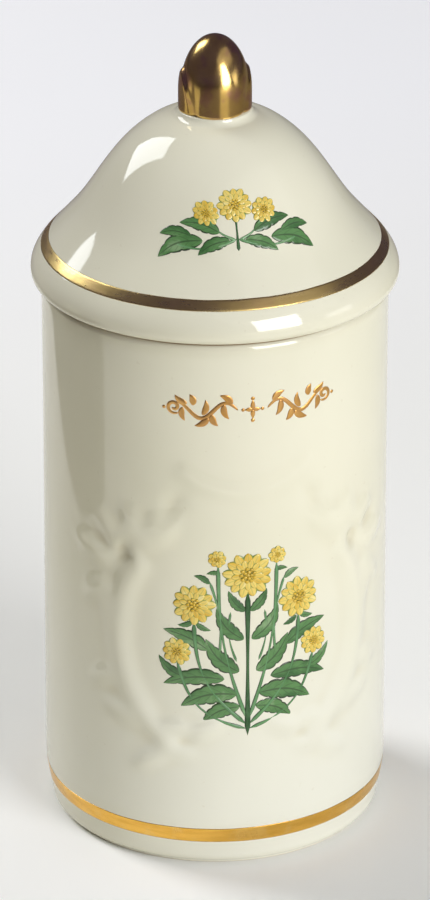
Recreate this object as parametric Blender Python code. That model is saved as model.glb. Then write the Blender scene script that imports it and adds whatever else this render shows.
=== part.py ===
"""A porcelain spice jar: a straight-sided jar with a domed lid that lifts off.

The jar stands on a narrow unglazed foot ring, +Z up, with its origin at the centre of that ring.
The front of the jar, where its ornament goes, faces -Y.
The lid drops its tubular plug into the jar's mouth. A soft ring with three fins sits in a groove
round the plug and grips the mouth. The gilt knob is a flower bud, cast by itself and luted on.
"""

import math

import bmesh
import bpy
from mathutils import Vector

MM = 0.001

# Clearance between pieces that touch, and the distance within which corners are one
FITTED_GAP = 0.3 * MM
MERGE_DISTANCE = 0.05 * MM

# Jar
BODY_RADIUS = 22.3 * MM
BODY_HEIGHT = 74.4 * MM
BODY_WALL = 2.6 * MM
FLOOR_THICKNESS = 3.0 * MM
FLOOR_CORNER_RADIUS = 3.2 * MM
HEEL_ROUND = 1.3 * MM
FOOT_RING_INSET = 0.2 * MM
FOOT_RING_WIDTH = 2.2 * MM
FOOT_RING_HEIGHT = 0.5 * MM
BASE_RECESS_DEPTH = 1.3 * MM
BASE_RECESS_RUN = 1.0 * MM
JAR_BAND_BOTTOM = 3.75 * MM
JAR_BAND_WIDTH = 1.93 * MM

# Roundings of the jar's lip, as shares of its wall
LIP_OUTER_ROUND_SHARE = 0.38
LIP_INNER_ROUND_SHARE = 0.23

# Lid, with heights counted from the plane that sits over the jar's lip
LID_WALL = 2.4 * MM
RIM_OVERHANG = 0.1 * MM
RIM_BULGE = 1.25 * MM
RIM_WIDEST_HEIGHT = 1.2 * MM
RIM_TOP_INSET = 0.2 * MM
RIM_TOP_HEIGHT = 4.1 * MM
RIM_LOWER_SQUARENESS = 2.4
RIM_UPPER_SQUARENESS = 1.95
LID_BAND_RUN = 0.85 * MM
LID_BAND_RISE = 1.35 * MM
CROWN_HEIGHT = 22.75 * MM

# The dome's waist, as shares of the radius of its foot and of its rise from there to the crown
WAIST_RADIUS_SHARE = 0.713
WAIST_RISE_SHARE = 0.457

# Slopes of the dome's outline in degrees, and its curve handles as shares of each curve's chord
DOME_FOOT_SLOPE = 48
WAIST_SLOPE = 57
CROWN_SLOPE = 29
FLARE_HANDLE_SHARE = 0.5
CROWN_HANDLE_SHARE = 0.42

# Plug, and the lands above and below the groove that holds its seal
PLUG_CLEARANCE = 1.8 * MM
PLUG_WALL = 2.3 * MM
PLUG_LENGTH = 9.0 * MM
PLUG_TIP_ROUND = 0.6 * MM
GROOVE_DEPTH = 0.9 * MM
UPPER_LAND = 2.0 * MM
LOWER_LAND = 1.8 * MM

# Seal: a soft sleeve whose fins lean upwards, away from the way the lid goes in, with the
# thickness and lean of its fins as shares of the height that each has on the sleeve
FIN_COUNT = 3
FIN_ROOT_SHARE = 0.5
FIN_TIP_SHARE = 0.24
FIN_LEAN_SHARE = 0.2

# Knob: a bud's core, under a front and a back petal, under a left and a right one
KNOB_RADIUS = 4.7 * MM
KNOB_HEIGHT = 9.6 * MM
KNOB_FOOT_ROUND = 0.2 * MM
KNOB_LAND_MARGIN = 0.35 * MM
PETAL_THICKNESS = 0.17 * MM
TENON_RADIUS = 2.4 * MM
TENON_LENGTH = 1.4 * MM

# The bud's form, in shares of its height; the spread is half a petal's angle in degrees
BUD_SHOULDER_SHARE = 0.25
INNER_TIP_SHARE = 0.81
OUTER_TIP_SHARE = 0.61
PETAL_BLEND_SHARE = 0.125
PETAL_SPREAD = 62
PETAL_POINTEDNESS = 1.7
BUD_FULLNESS = 2.0

# Fineness of the turned and lofted surfaces, and the angle in degrees that makes an edge crisp
TURN_STEPS = 64
KNOB_STEPS = 48
KNOB_ROWS = 20
ARC_STEPS = 4
DOME_STEPS = 7
CRISP_EDGE = 32

# Sizes that follow from those above
MOUTH_RADIUS = BODY_RADIUS - BODY_WALL
LID_SEAT = BODY_HEIGHT + FITTED_GAP
RIM_FOOT_RADIUS = BODY_RADIUS + RIM_OVERHANG
RIM_TOP_RADIUS = BODY_RADIUS - RIM_TOP_INSET
PLUG_RADIUS = MOUTH_RADIUS - PLUG_CLEARANCE
GROOVE_RADIUS = PLUG_RADIUS - GROOVE_DEPTH
GROOVE_TOP = -UPPER_LAND
GROOVE_BOTTOM = LOWER_LAND - PLUG_LENGTH

IVORY_GLAZE = ("ivory_glaze", (0.80, 0.77, 0.66, 1.0), 0.08, 0.0)
BURNISHED_GOLD = ("burnished_gold", (0.62, 0.42, 0.13, 1.0), 0.22, 1.0)
CLEAR_SEAL = ("clear_seal", (0.86, 0.85, 0.80, 1.0), 0.45, 0.0)


def material(finish):
    """One Principled material, shared by every object that asks for the same finish."""
    name, colour, roughness, metallic = finish
    made = bpy.data.materials.get(name)
    if made is None:
        made = bpy.data.materials.new(name)
        made.use_nodes = True
        shader = made.node_tree.nodes["Principled BSDF"]
        shader.inputs["Base Color"].default_value = colour
        shader.inputs["Roughness"].default_value = roughness
        shader.inputs["Metallic"].default_value = metallic
        made.diffuse_color = colour
    return made


def round_corner(centre, radius, start, end, steps=ARC_STEPS):
    """Points of an arc about centre, from the start angle to the end angle in degrees."""
    points = []
    for i in range(steps + 1):
        angle = math.radians(start + (end - start) * i / steps)
        points.append((centre[0] + radius * math.cos(angle), centre[1] + radius * math.sin(angle)))
    return points


def quarter_curve(centre, reach, rise, squareness, steps=ARC_STEPS):
    """A quarter superellipse from beside its centre, at full reach, to above or below it."""
    points = []
    for i in range(steps + 1):
        angle = math.radians(90) * i / steps
        across = math.cos(angle) ** (2 / squareness)
        along = math.sin(angle) ** (2 / squareness)
        points.append((centre[0] + reach * across, centre[1] + rise * along))
    return points


def sloped_curve(start, start_slope, end, end_slope, handle_share, steps=DOME_STEPS):
    """A cubic curve that climbs inwards between two points, at a slope in degrees at each."""
    handle = handle_share * math.dist(start, end)
    first = math.radians(start_slope)
    last = math.radians(end_slope)
    near = (start[0] - handle * math.cos(first), start[1] + handle * math.sin(first))
    far = (end[0] + handle * math.cos(last), end[1] - handle * math.sin(last))
    points = []
    for i in range(steps + 1):
        t = i / steps
        weights = ((1 - t) ** 3, 3 * (1 - t) ** 2 * t, 3 * (1 - t) * t ** 2, t ** 3)
        radius = sum(weight * point[0] for weight, point in zip(weights, (start, near, far, end)))
        height = sum(weight * point[1] for weight, point in zip(weights, (start, near, far, end)))
        points.append((radius, height))
    return points


def smooth_share(value):
    """0 below 0, 1 above 1 and an even S-curve between them."""
    share = min(1.0, max(0.0, value))
    return share * share * (3 - 2 * share)


def link(name, mesh, finishes, parent=None):
    """An object of this mesh, under its parent empty, with one material for each finish."""
    made = bpy.data.objects.new(name, mesh)
    for finish in finishes:
        mesh.materials.append(material(finish))
    bpy.context.scene.collection.objects.link(made)
    made.parent = parent
    return made


def turned(name, outline, finishes, parent=None, gilt_stretch=None):
    """A solid of revolution about Z from an outline of (radius, height) points.

    An outline whose ends lie on the axis closes there, and any other closes on itself.
    gilt_stretch is a pair of heights: the outermost faces between them take the second finish.
    """
    on_axis = outline[0][0] == 0 and outline[-1][0] == 0
    bm = bmesh.new()
    corners = [bm.verts.new(Vector((radius, 0, height))) for radius, height in outline]
    pairs = list(zip(corners, corners[1:]))
    if not on_axis:
        pairs.append((corners[-1], corners[0]))
    edges = [bm.edges.new(pair) for pair in pairs]
    bmesh.ops.spin(
        bm,
        geom=corners + edges,
        cent=(0, 0, 0),
        axis=(0, 0, 1),
        angle=math.tau,
        steps=TURN_STEPS,
        use_merge=True,
    )
    bmesh.ops.remove_doubles(bm, verts=bm.verts, dist=MERGE_DISTANCE)
    bmesh.ops.recalc_face_normals(bm, faces=bm.faces)
    if gilt_stretch:
        low, high = gilt_stretch
        for face in bm.faces:
            middle = face.calc_center_median()
            outward = face.normal.x * middle.x + face.normal.y * middle.y
            if low < middle.z < high and outward > 0:
                face.material_index = 1
    mesh = bpy.data.meshes.new(name)
    bm.to_mesh(mesh)
    bm.free()
    mesh.shade_smooth()
    mesh.set_sharp_from_angle(angle=math.radians(CRISP_EDGE))
    return link(name, mesh, finishes, parent)


def jar_outline():
    """The jar's wall from the middle of its underside, out, up, over the lip and down to the floor."""
    heel = BODY_RADIUS - HEEL_ROUND
    foot_outer = heel - FOOT_RING_INSET
    foot_inner = foot_outer - FOOT_RING_WIDTH
    lip_outer = LIP_OUTER_ROUND_SHARE * BODY_WALL
    lip_inner = LIP_INNER_ROUND_SHARE * BODY_WALL
    floor = BASE_RECESS_DEPTH + FLOOR_THICKNESS
    corner = (MOUTH_RADIUS - FLOOR_CORNER_RADIUS, floor + FLOOR_CORNER_RADIUS)
    points = [(0, BASE_RECESS_DEPTH), (foot_inner - BASE_RECESS_RUN, BASE_RECESS_DEPTH)]
    points += [(foot_inner, 0), (foot_outer, 0), (foot_outer, FOOT_RING_HEIGHT)]
    points += round_corner((heel, FOOT_RING_HEIGHT + HEEL_ROUND), HEEL_ROUND, -90, 0)
    points += [(BODY_RADIUS, JAR_BAND_BOTTOM), (BODY_RADIUS, JAR_BAND_BOTTOM + JAR_BAND_WIDTH)]
    points += round_corner((BODY_RADIUS - lip_outer, BODY_HEIGHT - lip_outer), lip_outer, 0, 90)
    points += round_corner((MOUTH_RADIUS + lip_inner, BODY_HEIGHT - lip_inner), lip_inner, 90, 180)
    points += round_corner(corner, FLOOR_CORNER_RADIUS, 0, -90)
    points.append((0, floor))
    return points


def make_jar():
    gilt_stretch = (JAR_BAND_BOTTOM, JAR_BAND_BOTTOM + JAR_BAND_WIDTH)
    return turned(
        "jar_body", jar_outline(), (IVORY_GLAZE, BURNISHED_GOLD), gilt_stretch=gilt_stretch
    )


def rim_outline():
    """The rolled rim, from its foot by the seat, out to its widest and in to the gilt band."""
    lower = quarter_curve(
        (RIM_FOOT_RADIUS, RIM_WIDEST_HEIGHT),
        RIM_BULGE,
        -RIM_WIDEST_HEIGHT,
        RIM_LOWER_SQUARENESS,
    )
    upper = quarter_curve(
        (RIM_TOP_RADIUS, RIM_WIDEST_HEIGHT),
        RIM_FOOT_RADIUS + RIM_BULGE - RIM_TOP_RADIUS,
        RIM_TOP_HEIGHT - RIM_WIDEST_HEIGHT,
        RIM_UPPER_SQUARENESS,
    )
    return lower[::-1] + upper[1:]


def dome_outline(depth=0.0):
    """The dome from the gilt band up to the knob, as a flare and a crown that meet smoothly.

    A depth moves the whole outline inwards by that much, square to its slope.
    """
    def sunk(radius, height, slope):
        angle = math.radians(slope)
        return (radius - depth * math.sin(angle), height - depth * math.cos(angle))

    foot_radius = RIM_TOP_RADIUS - LID_BAND_RUN
    foot_height = RIM_TOP_HEIGHT + LID_BAND_RISE
    waist_height = foot_height + WAIST_RISE_SHARE * (CROWN_HEIGHT - foot_height)
    foot = sunk(foot_radius, foot_height, DOME_FOOT_SLOPE)
    waist = sunk(WAIST_RADIUS_SHARE * foot_radius, waist_height, WAIST_SLOPE)
    crown = sunk(KNOB_RADIUS + KNOB_LAND_MARGIN, CROWN_HEIGHT, CROWN_SLOPE)
    flare = sloped_curve(foot, DOME_FOOT_SLOPE, waist, WAIST_SLOPE, FLARE_HANDLE_SHARE)
    top = sloped_curve(waist, WAIST_SLOPE, crown, CROWN_SLOPE, CROWN_HANDLE_SHARE)
    return flare + top[1:]


def plug_outline():
    """The plug's outside, down from the seat, round its groove and tip, and up its bore."""
    bore = PLUG_RADIUS - PLUG_WALL
    points = [(PLUG_RADIUS, 0), (PLUG_RADIUS, GROOVE_TOP), (GROOVE_RADIUS, GROOVE_TOP)]
    points += [(GROOVE_RADIUS, GROOVE_BOTTOM), (PLUG_RADIUS, GROOVE_BOTTOM)]
    points += round_corner(
        (PLUG_RADIUS - PLUG_TIP_ROUND, PLUG_TIP_ROUND - PLUG_LENGTH), PLUG_TIP_ROUND, 0, -90
    )
    points += [(bore, -PLUG_LENGTH), (bore, LID_WALL)]
    return points


def make_lid(parent):
    """The lid's even wall, with the socket for the knob's tenon in its crown."""
    socket_radius = TENON_RADIUS + FITTED_GAP
    socket_floor = CROWN_HEIGHT - TENON_LENGTH - FITTED_GAP
    ceiling = socket_floor - LID_WALL
    flat = socket_radius + LID_WALL
    hollow = [(0, ceiling), (flat, ceiling)]
    for radius, height in reversed(dome_outline(LID_WALL)):
        if radius > flat + LID_WALL / 2 and LID_WALL < height < ceiling:
            hollow.append((radius, height))
    hollow.append((RIM_FOOT_RADIUS - LID_WALL, LID_WALL))
    outside = rim_outline() + dome_outline()
    outside += [(socket_radius, CROWN_HEIGHT), (socket_radius, socket_floor), (0, socket_floor)]
    outline = hollow + plug_outline()[::-1] + outside
    gilt_stretch = (RIM_TOP_HEIGHT, RIM_TOP_HEIGHT + LID_BAND_RISE)
    return turned("lid_dome", outline, (IVORY_GLAZE, BURNISHED_GOLD), parent, gilt_stretch)


def make_seal(parent):
    """The sleeve in the plug's groove, with fins that reach out to the jar's mouth."""
    inner = GROOVE_RADIUS + FITTED_GAP
    sleeve = PLUG_RADIUS + FITTED_GAP
    reach = MOUTH_RADIUS - FITTED_GAP
    top = GROOVE_TOP - FITTED_GAP
    bottom = GROOVE_BOTTOM + FITTED_GAP
    pitch = (top - bottom) / FIN_COUNT
    half_root = FIN_ROOT_SHARE * pitch / 2
    half_tip = FIN_TIP_SHARE * pitch / 2
    outline = [(inner, top), (inner, bottom), (sleeve, bottom)]
    for fin in range(FIN_COUNT):
        root = bottom + pitch * (fin + 1 / 2)
        tip = root + FIN_LEAN_SHARE * pitch
        outline += [(sleeve, root - half_root), (reach, tip - half_tip)]
        outline += [(reach, tip + half_tip), (sleeve, root + half_root)]
    outline.append((sleeve, top))
    return turned("lid_seal", outline, (CLEAR_SEAL,), parent)


def petal_cover(angle, climb, middle, tip_share):
    """How far a petal covers what is under it here, from 0, bare, to 1.

    climb is the share of the bud's height, and middle is the direction of the petal's midrib in
    degrees. The petal is at its full width at the knob's foot and narrows to its tip.
    """
    aside = abs(math.remainder(angle - math.radians(middle), math.tau)) / math.radians(PETAL_SPREAD)
    edge = tip_share * (1 - min(1.0, aside) ** PETAL_POINTEDNESS)
    return smooth_share((edge - climb) / PETAL_BLEND_SHARE + 1 / 2)


def knob_radius(angle, climb):
    """The bud's core, drawn in from its shoulder to its tip, and its two layers of petals.

    The left and right petals lie two thicknesses above the core, over the front and back ones.
    """
    above = max(0.0, climb - BUD_SHOULDER_SHARE) / (1 - BUD_SHOULDER_SHARE)
    core = (KNOB_RADIUS - 2 * PETAL_THICKNESS) * math.sqrt(max(0.0, 1 - above ** BUD_FULLNESS))
    inner = max(petal_cover(angle, climb, middle, INNER_TIP_SHARE) for middle in (-90, 90))
    outer = max(petal_cover(angle, climb, middle, OUTER_TIP_SHARE) for middle in (0, 180))
    return core + PETAL_THICKNESS * (inner + (2 - inner) * outer)


def make_knob(parent):
    """The bud on its tenon, lofted ring by ring from the tenon's end to the bud's tip."""
    bm = bmesh.new()

    def ring(height, radii):
        corners = []
        for i, radius in enumerate(radii):
            angle = math.tau * i / KNOB_STEPS
            corners.append(bm.verts.new((radius * math.cos(angle), radius * math.sin(angle), height)))
        return corners

    def bud_ring(height, tuck=0.0):
        climb = height / KNOB_HEIGHT
        radii = [knob_radius(math.tau * i / KNOB_STEPS, climb) - tuck for i in range(KNOB_STEPS)]
        return ring(FITTED_GAP + height, radii)

    tenon = [TENON_RADIUS] * KNOB_STEPS
    rings = [ring(FITTED_GAP - TENON_LENGTH, tenon), ring(FITTED_GAP, tenon)]
    rings.append(bud_ring(0, tuck=KNOB_FOOT_ROUND))
    rings.append(bud_ring(KNOB_FOOT_ROUND))
    for row in range(1, KNOB_ROWS):
        rise = (KNOB_HEIGHT - KNOB_FOOT_ROUND) * math.sin(math.radians(90) * row / KNOB_ROWS)
        rings.append(bud_ring(KNOB_FOOT_ROUND + rise))
    for lower, upper in zip(rings, rings[1:]):
        for i in range(KNOB_STEPS):
            j = (i + 1) % KNOB_STEPS
            bm.faces.new((lower[i], lower[j], upper[j], upper[i]))
    tip = bm.verts.new((0, 0, FITTED_GAP + KNOB_HEIGHT))
    for i in range(KNOB_STEPS):
        bm.faces.new((rings[-1][i], rings[-1][(i + 1) % KNOB_STEPS], tip))
    bm.faces.new(rings[0][::-1])
    bmesh.ops.recalc_face_normals(bm, faces=bm.faces)
    mesh = bpy.data.meshes.new("lid_knob")
    bm.to_mesh(mesh)
    bm.free()
    mesh.shade_smooth()
    mesh.set_sharp_from_angle(angle=math.radians(CRISP_EDGE))
    knob = link("lid_knob", mesh, (BURNISHED_GOLD,), parent)
    knob.location = (0, 0, CROWN_HEIGHT)
    return knob


def empty(name, location, parent=None):
    made = bpy.data.objects.new(name, None)
    bpy.context.scene.collection.objects.link(made)
    made.parent = parent
    made.location = location
    return made


def main():
    for old in list(bpy.data.objects):
        bpy.data.objects.remove(old)
    make_jar()
    lid_lift = empty("lid_lift", (0, 0, LID_SEAT))
    lid_turn = empty("lid_turn", (0, 0, 0), lid_lift)
    make_seal(lid_lift)
    make_lid(lid_turn)
    make_knob(lid_turn)


main()
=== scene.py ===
"""The porcelain spice jar as it looks: ivory glaze over soft relief, enamelled posies and gilding.

Every piece stands where its CAD piece stands, in metres, +Z up, with the front towards -Y.
Ornaments are drawn flat, as (across, up), and then laid onto the jar's wall or the lid's dome.
"""

import math

import bpy
import numpy as np
from mathutils import Matrix, Vector


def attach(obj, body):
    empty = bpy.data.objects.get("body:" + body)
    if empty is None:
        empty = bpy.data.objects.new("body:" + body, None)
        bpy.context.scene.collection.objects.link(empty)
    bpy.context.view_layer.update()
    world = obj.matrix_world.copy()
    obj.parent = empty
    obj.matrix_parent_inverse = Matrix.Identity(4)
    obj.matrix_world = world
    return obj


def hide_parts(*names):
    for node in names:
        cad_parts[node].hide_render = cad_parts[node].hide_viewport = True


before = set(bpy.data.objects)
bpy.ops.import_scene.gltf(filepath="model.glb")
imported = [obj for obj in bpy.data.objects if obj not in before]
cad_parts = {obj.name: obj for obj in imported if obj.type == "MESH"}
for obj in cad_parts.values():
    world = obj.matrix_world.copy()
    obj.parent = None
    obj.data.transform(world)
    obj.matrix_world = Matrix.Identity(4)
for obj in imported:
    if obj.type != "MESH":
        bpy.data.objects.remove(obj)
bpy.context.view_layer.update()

MM = 0.001
TURN = 2 * math.pi

# The jar, as in its CAD piece
BODY_RADIUS = 22.3 * MM
BODY_HEIGHT = 74.4 * MM
BODY_WALL = 2.6 * MM
FLOOR_THICKNESS = 3.0 * MM
FLOOR_CORNER_RADIUS = 3.2 * MM
HEEL_ROUND = 1.3 * MM
FOOT_RING_INSET = 0.2 * MM
FOOT_RING_WIDTH = 2.2 * MM
FOOT_RING_HEIGHT = 0.5 * MM
BASE_RECESS_DEPTH = 1.3 * MM
BASE_RECESS_RUN = 1.0 * MM
LIP_OUTER_ROUND = 0.38 * BODY_WALL
LIP_INNER_ROUND = 0.23 * BODY_WALL
MOUTH_RADIUS = BODY_RADIUS - BODY_WALL

# The gilt band, and the glazed wall, which swells a little towards the foot and is drawn in there
JAR_BAND_BOTTOM = 3.66 * MM
JAR_BAND_WIDTH = 2.08 * MM
WALL_SWELL = 0.16 * MM
WALL_SWELL_TOP = 62 * MM
WALL_SWELL_FULL = 10 * MM
WALL_DRAW = 0.74 * MM
WALL_DRAW_TOP = 6.9 * MM
WALL_DRAW_EASE = 1.25
RELIEF_BOTTOM = 12 * MM
RELIEF_TOP = 60 * MM
RELIEF_HEIGHT = 0.78 * MM
RELIEF_BLUR_TAPS = 4
POOL_BLUR_TAPS = 6
POOL_GAIN = 3.2
JAR_TURN_STEPS = 384

# The lid, with heights counted from the plane over the jar's lip. The rim's upper wall leans in as
# the glaze leaves it, up to the gilt band
LID_SEAT = BODY_HEIGHT + 0.3 * MM
LID_WALL = 2.4 * MM
RIM_FOOT_RADIUS = BODY_RADIUS + 0.1 * MM
RIM_BULGE = 1.25 * MM
RIM_WIDEST_HEIGHT = 1.2 * MM
RIM_TOP_RADIUS = BODY_RADIUS - 0.2 * MM
RIM_TOP_HEIGHT = 4.1 * MM
RIM_LOWER_SQUARENESS = 2.4
RIM_ROLL_TOP = 4.3 * MM
RIM_LEAN = 38
RIM_LEAN_EASE = 1.5
LID_BAND_FOOT = 4.27 * MM
LID_BAND_RUN = 0.85 * MM
LID_BAND_RISE = 1.35 * MM
CROWN_HEIGHT = 22.75 * MM
WAIST_RADIUS_SHARE = 0.713
WAIST_RISE_SHARE = 0.457
DOME_FOOT_SLOPE = 48
WAIST_SLOPE = 57
CROWN_SLOPE = 29
FLARE_HANDLE_SHARE = 0.5
CROWN_HANDLE_SHARE = 0.42
PLUG_RADIUS = MOUTH_RADIUS - 1.8 * MM
PLUG_WALL = 2.3 * MM
PLUG_LENGTH = 9.0 * MM
PLUG_TIP_ROUND = 0.6 * MM
GROOVE_RADIUS = PLUG_RADIUS - 0.9 * MM
GROOVE_TOP = -2.0 * MM
GROOVE_BOTTOM = 1.8 * MM - PLUG_LENGTH
TENON_RADIUS = 2.4 * MM
TENON_LENGTH = 1.4 * MM
FITTED_GAP = 0.3 * MM
LID_TURN_STEPS = 256

# The crown lies lower round the bud's foot, where the glaze has run into a fillet
CROWN_EASE = 0.68 * MM
CROWN_EASE_RADIUS = 9.0 * MM
FILLET_RADIUS = 1.25 * MM
FILLET_FOOT_SLOPE = 14
FILLET_TOP_SLOPE = 76

# Where the drawings on the dome count their height from
DOME_REFERENCE = 87.4 * MM

# The seal ring
FIN_COUNT = 3
FIN_ROOT_SHARE = 0.5
FIN_TIP_SHARE = 0.24
FIN_LEAN_SHARE = 0.2
SEAL_TURN_STEPS = 160

# The bud on the lid
KNOB_RADIUS = 4.7 * MM
KNOB_HEIGHT = 9.6 * MM
PETAL_THICKNESS = 0.17 * MM
BUD_SHOULDER_SHARE = 0.25
INNER_TIP_SHARE = 0.81
OUTER_TIP_SHARE = 0.56
INNER_PETAL_SPREAD = 62
OUTER_PETAL_SPREAD = 44
INNER_BLEND_SHARE = 0.25
OUTER_BLEND_SHARE = 0.09
PETAL_SIDE_SOFTNESS = 5.0
PETAL_POINTEDNESS = 1.7
BUD_FULLNESS = 2.0
BUD_MARGIN = 0.35 * MM
BUD_FOOT_DIP = 0.40 * MM
BUD_FOOT_ROUND = 0.18 * MM
BUD_FOOT_ROUND_HEIGHT = 0.3 * MM
BUD_STEPS = 192
BUD_ROWS = 150

# Enamel and gilding
ENAMEL_RISE = 0.085 * MM
SCROLL_RISE = 0.05 * MM
BAND_RISE = 0.035 * MM
BAND_SWAY = 0.03 * MM
BAND_STEPS = 360
GOLDEN_SHARE = 0.618


# Curves and outlines

def smooth_share(value):
    """0 below 0, 1 above 1, and x * x * (3 - 2 x) between them."""
    share = np.clip(value, 0, 1)
    return share * share * (3 - 2 * share)


def arc(centre, radii, start, end, steps=10):
    """Points along a circle or an ellipse: centre + radii * (cosine, sine) of even angles."""
    angle = np.radians(np.linspace(start, end, steps + 1))[:, None]
    return np.array(centre) + np.array(radii) * np.hstack([np.cos(angle), np.sin(angle)])


def quarter_curve(centre, reach, rise, squareness, steps=16):
    """A quarter superellipse: the cosine and the sine each raised to 2 / squareness."""
    angle = np.linspace(0, math.pi / 2, steps + 1)
    across = np.maximum(np.cos(angle), 0) ** (2 / squareness)
    along = np.sin(angle) ** (2 / squareness)
    return np.stack([centre[0] + reach * across, centre[1] + rise * along], 1)


def sloped_curve(start, start_slope, end, end_slope, handle_share, steps=36):
    """A cubic curve that climbs inwards between two points, with a given slope at each."""
    handle = handle_share * math.dist(start, end)
    first, last = math.radians(start_slope), math.radians(end_slope)
    near = (start[0] - handle * math.cos(first), start[1] + handle * math.sin(first))
    far = (end[0] + handle * math.cos(last), end[1] - handle * math.sin(last))
    t = np.linspace(0, 1, steps + 1)[:, None]
    shares = ((1 - t) ** 3, 3 * (1 - t) ** 2 * t, 3 * (1 - t) * t ** 2, t ** 3)
    return sum(share * np.array(point) for share, point in zip(shares, (start, near, far, end)))


def line(start, end, steps):
    """Even steps along a straight line."""
    t = np.linspace(0, 1, steps + 1)[:, None]
    return np.array(start) * (1 - t) + np.array(end) * t


def tangents(path):
    """The direction at each point of a path, 1 long."""
    along = np.gradient(path, axis=0)
    return along / np.maximum(np.hypot(*along.T), 1e-12)[:, None]


def lengths_along(path):
    """The distance of each point from the first, along the path."""
    return np.concatenate([[0], np.cumsum(np.hypot(*np.diff(path, axis=0).T))])


def softened(path, spacing, spread):
    """A glaze rounds every corner: the path at an even spacing, each point averaged with its
    neighbours by a bell curve of that spread, and the two ends kept where they are."""
    along = lengths_along(path)
    places = np.linspace(0, along[-1], int(along[-1] / spacing) + 2)
    even = np.stack([np.interp(places, along, part) for part in path.T], 1)
    reach = int(3 * spread / spacing) + 1
    weights = np.exp(-0.5 * (np.arange(-reach, reach + 1) * spacing / spread) ** 2)
    weights /= weights.sum()
    before = 2 * even[0] - even[reach:0:-1]
    after = 2 * even[-1] - even[-2:-reach - 2:-1]
    padded = np.vstack([before, even, after])
    return np.stack([np.convolve(part, weights, "valid") for part in padded.T], 1)


def joined(*paths):
    """Paths put end to end, without the points that two of them share."""
    path = np.vstack(paths)
    apart = np.hypot(*np.diff(path, axis=0).T) > 1e-6
    return path[np.concatenate([[True], apart])]


# Skins: closed surfaces over rings of points

def ring_angles(steps):
    """Even angles once round, in one row."""
    return np.linspace(0, TURN, steps, endpoint=False)[None, :]


def around(angle, radius, height):
    """Points about the axis, (radius * sine, -radius * cosine, height), with 0 at the front."""
    angle, radius, height = np.broadcast_arrays(angle, radius, height)
    return np.stack([radius * np.sin(angle), -radius * np.cos(angle), height], -1)


def skin(rings, poles=None, looped=False, uv=None, tint=0.0):
    """Quads between each ring and the next, and a fan at each pole, or quads from the last ring
    back to the first. uv gives each point its place along and across the piece."""
    count, sides = rings.shape[:2]
    ring = np.arange(count * sides).reshape(count, sides)
    lower = ring if looped else ring[:-1]
    upper = np.roll(ring, -1, 0) if looped else ring[1:]
    quads = np.stack([lower, np.roll(lower, -1, 1), np.roll(upper, -1, 1), upper], -1)
    points = rings.reshape(-1, 3)
    places = np.zeros((count * sides, 2)) if uv is None else uv.reshape(-1, 2)
    fans = np.zeros((0, 3), int)
    if poles is not None:
        first, last = np.full(sides, len(points)), np.full(sides, len(points) + 1)
        fans = np.vstack([
            np.stack([first, np.roll(ring[0], -1), ring[0]], -1),
            np.stack([last, ring[-1], np.roll(ring[-1], -1)], -1),
        ])
        points = np.vstack([points, poles])
        places = np.vstack([places, [[0, 0.5], [1, 0.5]]])
    return {
        "points": points, "quads": quads.reshape(-1, 4), "fans": fans,
        "uv": places, "tint": np.full(len(points), float(tint)),
    }


def turned(outline, steps, proud=0.0):
    """A surface of revolution whose outline starts and ends on the axis, with what stands proud of
    it, given for each point between them."""
    rings = around(ring_angles(steps), outline[1:-1, :1] + proud, outline[1:-1, 1:])
    return skin(rings, [[0, 0, outline[0, 1]], [0, 0, outline[-1, 1]]])


def stroke(path, half_width, half_height, lay, sides=12, looped=False, tint=0.0, flat=1.0):
    """A line of enamel or gilding: path + normal * half_width * cosine, raised by
    half_height * sine, with its underside sunk by half of that, laid onto the piece by lay.
    flat below 1 flattens its top. Its ends taper to a point, unless it is looped: such a line
    runs level round the piece, so its normal is straight up."""
    if looped:
        aside = np.tile([0.0, 1.0], (len(path), 1))
    else:
        along = tangents(path)
        aside = np.stack([-along[:, 1], along[:, 0]], 1)
    cosine, sine = np.cos(ring_angles(sides)), np.sin(ring_angles(sides))
    lift = np.sign(sine) * np.abs(sine) ** flat * np.where(sine < 0, 0.5, 1)
    width = np.broadcast_to(half_width, len(path))[:, None]
    height = np.broadcast_to(half_height, len(path))[:, None]
    across = path[:, :1] + aside[:, :1] * width * cosine
    up = path[:, 1:] + aside[:, 1:] * width * cosine
    points = lay(across, up, height * lift)
    share = np.linspace(0, 1, len(path))[:, None] + 0 * cosine
    uv = np.stack([share, 0.5 + 0.5 * cosine + 0 * share], -1)
    if looped:
        return skin(points, looped=True, uv=uv, tint=tint)
    ends = points[[0, -1]].mean(1)
    return skin(points[1:-1], ends, uv=uv[1:-1], tint=tint)


def put_up(name, data):
    """A new object in the scene."""
    thing = bpy.data.objects.new(name, data)
    bpy.context.scene.collection.objects.link(thing)
    return thing


def make_piece(name, skins, finish, body, node=None, crisp=None):
    """One object from all its skins, which rides on a body and may stand for a CAD node."""
    sizes = np.cumsum([0] + [len(s["points"]) for s in skins])
    points = np.vstack([s["points"] for s in skins])
    quads = np.vstack([s["quads"] + n for s, n in zip(skins, sizes)])
    fans = np.vstack([s["fans"] + n for s, n in zip(skins, sizes)])
    mesh = bpy.data.meshes.new(name)
    mesh.from_pydata(points.tolist(), [], quads.tolist() + fans.tolist())
    corners = np.zeros(len(mesh.loops), int)
    mesh.loops.foreach_get("vertex_index", corners)
    places = np.vstack([s["uv"] for s in skins])[corners]
    mesh.uv_layers.new(name="UVMap").data.foreach_set("uv", places.ravel())
    tints = np.concatenate([s["tint"] for s in skins])
    mesh.attributes.new("tint", "FLOAT", "POINT").data.foreach_set("value", tints)
    mesh.shade_smooth()
    if crisp:
        mesh.set_sharp_from_angle(angle=math.radians(crisp))
    mesh.materials.append(finish)
    piece = put_up(name, mesh)
    if node:
        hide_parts(node)
    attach(piece, body)


# Finishes, written as formulas on sockets

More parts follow.
